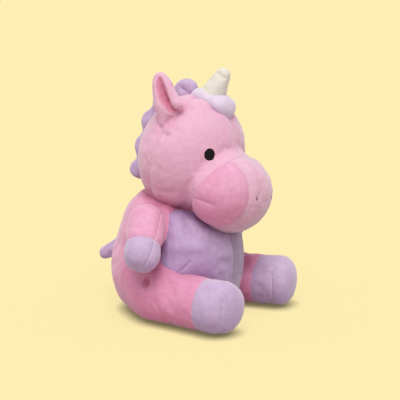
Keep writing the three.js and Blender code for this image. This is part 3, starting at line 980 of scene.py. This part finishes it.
def build_horn():
    base, along = horn_frame()
    reach = (to_head(node_points("horn_cover")) - base) @ along
    tip = base + along * (reach.max() - HORN_TIP_RADIUS)

    def field(points):
        return round_cone(points, base, tip, HORN_ROOT_RADIUS, HORN_TIP_RADIUS)

    panels = {
        0: ("cover_horn_right", "cream_plush", CREAM, ("horn_cover", "horn_stuffing")),
        1: ("cover_horn_left", "cream_plush", CREAM, ()),
    }
    thin = {"depth": 0.5, "width": 1.5, "roll": 0.3, "roll_width": 3.0, "pucker": 0.3}
    front = np.cross(along, (1, 0, 0))
    folds = []
    for height, start, stop in HORN_FOLDS:
        around = [math.radians(start + (stop - start) * i / 4) for i in range(5)]
        ring = [base + along * height + 13.5 * (front * math.cos(a) - np.array([math.sin(a), 0, 0]))
                for a in around]
        folds.append((ring, {"depth": 0.8, "width": 1.8, "roll": 0.3, "roll_width": 3.0, "pucker": 0.1}))
    low, high = np.minimum(base, tip) - 20, np.maximum(base, tip) + 20
    sew(field, low, high, SMALL_STEP, halves, panels, "horn", folds, from_head, thin, cap=1.5)


def forelock_field(points):
    skull = ellipsoid(points, *SKULL)
    cape = meet(skull - 6.5, ellipsoid(points, (0, -31, 100), (18, 25, 26)), 5)
    roll = ellipsoid(points, (0, -45.5, 99.5), (17.5, 10, 11.5))
    return join(cape, roll, 7)


def build_forelock():
    # The forelock takes the much paler copy of the lilac: painted light.
    panels = {0: ("cover_forelock", "lilac_plush", LILAC_LIT, ("forelock_cover", "forelock_padding"))}
    base, along = horn_frame()
    front = np.array([0, -1, -0.2])
    middle = base + along * 12 + front * 14
    crease = [middle + (x, abs(x) * 0.35, 1.0 - abs(x) * 0.15) for x in (-14, -7, 0, 7, 14)]
    sew(forelock_field, (-30, -66, 66), (30, 2, 122), SMALL_STEP,
        lambda points: np.zeros(len(points), int), panels, "head", [(crease, DART)], from_head, cap=1.5)


# The mane's lobes: centre, reach out from the head, half length along it, pitch.
MANE = (
    ((0, 0, 110), 17, 16, 4),
    ((0, 25, 100), 15, 15, -35),
    ((0, 38, 78), 15, 15, -65),
    ((0, 43.5, 52), 16.5, 15, -85),
    ((0, 47, 28), 18, 12.5, -98),
)


def mane_field(points):
    lobes = [ellipsoid(points, centre, (8.5, half, reach), pitch) for centre, reach, half, pitch in MANE]
    total = lobes[0]
    for lobe in lobes[1:]:
        total = join(total, lobe, 8.0)
    return total


def build_mane():
    panels = {
        0: ("cover_mane_right", "lilac_plush", LILAC, ("mane_right", "mane_padding")),
        1: ("cover_mane_left", "lilac_plush", LILAC, ("mane_left",)),
    }
    tuck = ((-9, 8, 118), (-9, -1, 114), (-9, -9, 110))
    sew(mane_field, (-16, -26, 4), (16, 76, 136), SMALL_STEP, halves, panels, "head",
        both_sides([(tuck, FOLD)]), from_head, cap=1.5)


def build_tail():
    """A flattened drop that hangs back and down from its hinge."""
    hinge = joint_point("tail_swing")

    def field(points):
        thin = (points - hinge) * (1.2, 1, 1)
        return round_cone(thin, (0, -3, 5), (0, 24.5, -8.0), 11.5, 8.0)

    panels = {
        0: ("cover_tail_right", "lilac_plush", LILAC, ("tail_cover_right", "tail_stuffing")),
        1: ("cover_tail_left", "lilac_plush", LILAC, ("tail_cover_left",)),
    }
    sew(field, hinge - (16, 22, 26), hinge + (16, 40, 26), SMALL_STEP, halves, panels, "tail",
        cap=1.5)


# ------------------------------------------------------------------ stitched eyes and nostrils


EYE_RADII, EYE_RISE = (6.5, 6.6), 0.5
NOSTRIL_RADII, NOSTRIL_RISE = (1.5, 2.4), 0.25


def stitched_patch(cover, name, node, radii, rise, material):
    """A low dome of thread on the finished cover, over its CAD patch and square to the surface."""
    centre = pull(head_field, to_head(node_points(node)).mean(0)[None, :], 5)[0]
    out = slope_of(head_field, centre[None, :])[0]
    out /= np.linalg.norm(out)
    up = np.array([0, 0, 1.0]) - out * out[2]
    up /= np.linalg.norm(up)
    centre, out, up = from_head(centre), HEAD_TURN @ out, HEAD_TURN @ up
    across = np.cross(up, out)

    def seated(offset, height):
        hit = cover.ray_cast(Vector(centre + offset + out * 10), Vector(-out), 20)[0]
        return np.array(hit) + out * height

    rings, spokes = 9, 40
    points, faces = [seated(0 * out, rise)], []
    for ring in range(1, rings + 1):
        share = ring / rings
        height = rise * math.sqrt(max(0, 1 - share**2.6)) - 0.5 * (ring == rings)
        for spoke in range(spokes):
            angle = 2 * math.pi * spoke / spokes
            stray = 1 + 0.015 * math.sin(7 * angle + 1) + 0.012 * math.sin(13 * angle)
            offset = across * radii[0] * math.cos(angle) + up * radii[1] * math.sin(angle)
            points.append(seated(offset * share * stray, height))
    for spoke in range(spokes):
        after = (spoke + 1) % spokes
        faces.append((0, 1 + spoke, 1 + after))
        for ring in range(rings - 1):
            a, b = 1 + ring * spokes, 1 + (ring + 1) * spokes
            faces.append((a + spoke, b + spoke, b + after, a + after))
    add_piece(name, np.array(points), faces, "head", material, (node,))


def build_stitching(points, faces):
    cover = BVHTree.FromPolygons(points.tolist(), faces)
    for hand, _ in SIDES:
        stitched_patch(cover, f"stitched_eye_{hand}", f"eye_{hand}", EYE_RADII, EYE_RISE,
                       BLACK)
        stitched_patch(cover, f"stitched_nostril_{hand}", f"nostril_{hand}", NOSTRIL_RADII,
                       NOSTRIL_RISE, MAUVE)


# ------------------------------------------------------------------ studio

CAMERA_AZIMUTH = -59.4
CAMERA_HEIGHT = 10.7
CAMERA_DISTANCE = 1.2445
CAMERA_TARGET = Vector((0, -0.027, 0.1189))
CAMERA_LENS = 107.86


def view_direction(azimuth, elevation):
    """From the toy towards the viewer; azimuth 0 is in front of its face."""
    a, e = math.radians(azimuth), math.radians(elevation)
    return Vector((math.sin(a) * math.cos(e), -math.cos(a) * math.cos(e), math.sin(e)))


def build_camera():
    data = bpy.data.cameras.new("camera")
    data.lens = CAMERA_LENS
    data.sensor_width = 36
    camera = bpy.data.objects.new("camera", data)
    camera.location = CAMERA_TARGET + view_direction(CAMERA_AZIMUTH, CAMERA_HEIGHT) * CAMERA_DISTANCE
    camera.rotation_euler = (CAMERA_TARGET - camera.location).to_track_quat("-Z", "Y").to_euler()
    bpy.context.scene.collection.objects.link(camera)
    bpy.context.scene.camera = camera


def sun(name, azimuth, elevation, strength, softness, colour):
    data = bpy.data.lights.new(name, "SUN")
    data.energy = strength
    data.angle = math.radians(softness)
    data.color = colour
    light = bpy.data.objects.new(name, data)
    light.rotation_euler = (-view_direction(azimuth, elevation)).to_track_quat("-Z", "Y").to_euler()
    bpy.context.scene.collection.objects.link(light)


PAPER = (0.991, 0.856, 0.456)
BOUNCE = (0.54, 0.49, 0.44)  # what the paper throws back on the toy
SKY_LIGHT = 0.57


def build_backdrop():
    """Pale yellow paper.

    The camera sees it glow, as overexposed paper does. Other rays see a duller floor, so it
    throws little colour back.
    """
    size = 60.0
    mesh = bpy.data.meshes.new("floor")
    corners = [(-size, -size, 0), (size, -size, 0), (size, size, 0), (-size, size, 0)]
    mesh.from_pydata(corners, [], [(0, 1, 2, 3)])
    floor = bpy.data.objects.new("floor", mesh)
    material, tree = node_tree("floor_paper")
    lit = tree.nodes.new("ShaderNodeBsdfDiffuse")
    lit.inputs["Color"].default_value = (*(np.array(PAPER) * 0.20), 1)
    glow = tree.nodes.new("ShaderNodeEmission")
    glow.inputs["Color"].default_value = (*PAPER, 1)
    # Painted contact shadow: the paper's glow dims where the toy is near.
    link(tree, stretch(tree, hollows(tree, 0.014), 0.2, 0.9, 0.15, 0.79), glow.inputs["Strength"])
    seen = tree.nodes.new("ShaderNodeAddShader")
    link(tree, lit.outputs["BSDF"], seen.inputs[0])
    link(tree, glow.outputs["Emission"], seen.inputs[1])
    bounce = tree.nodes.new("ShaderNodeBsdfDiffuse")
    bounce.inputs["Color"].default_value = (*BOUNCE, 1)
    choice = tree.nodes.new("ShaderNodeMixShader")
    link(tree, tree.nodes.new("ShaderNodeLightPath").outputs["Is Camera Ray"], choice.inputs[0])
    link(tree, bounce.outputs["BSDF"], choice.inputs[1])
    link(tree, seen.outputs["Shader"], choice.inputs[2])
    output = tree.nodes.new("ShaderNodeOutputMaterial")
    link(tree, choice.outputs["Shader"], output.inputs["Surface"])
    mesh.materials.append(material)
    bpy.context.scene.collection.objects.link(floor)


def build_sky():
    """White light from all round. The camera sees the paper's colour instead."""
    world = bpy.data.worlds.new("studio")
    world.use_nodes = True
    tree = world.node_tree
    tree.nodes.clear()
    light = tree.nodes.new("ShaderNodeBackground")
    light.inputs["Color"].default_value = (1.0, 0.99, 1.0, 1)
    light.inputs["Strength"].default_value = SKY_LIGHT
    seen = tree.nodes.new("ShaderNodeBackground")
    seen.inputs["Color"].default_value = (*PAPER, 1)
    choice = tree.nodes.new("ShaderNodeMixShader")
    link(tree, tree.nodes.new("ShaderNodeLightPath").outputs["Is Camera Ray"], choice.inputs[0])
    link(tree, light.outputs["Background"], choice.inputs[1])
    link(tree, seen.outputs["Background"], choice.inputs[2])
    output = tree.nodes.new("ShaderNodeOutputWorld")
    link(tree, choice.outputs["Shader"], output.inputs["Surface"])
    bpy.context.scene.world = world


def build_studio():
    build_sky()
    build_backdrop()
    sun("key", -62, 60, 1.75, 40, (1.0, 0.99, 0.99))
    bpy.context.scene.view_settings.view_transform = "Standard"


# ------------------------------------------------------------------ assembly

build_torso()
build_neck()
head_cover = build_head()
for hand, side in SIDES:
    build_limb("arm", hand, side)
    build_limb("leg", hand, side)
    build_ear(hand, side)
build_horn()
build_forelock()
build_mane()
build_tail()
build_stitching(*head_cover)
build_camera()
build_studio()
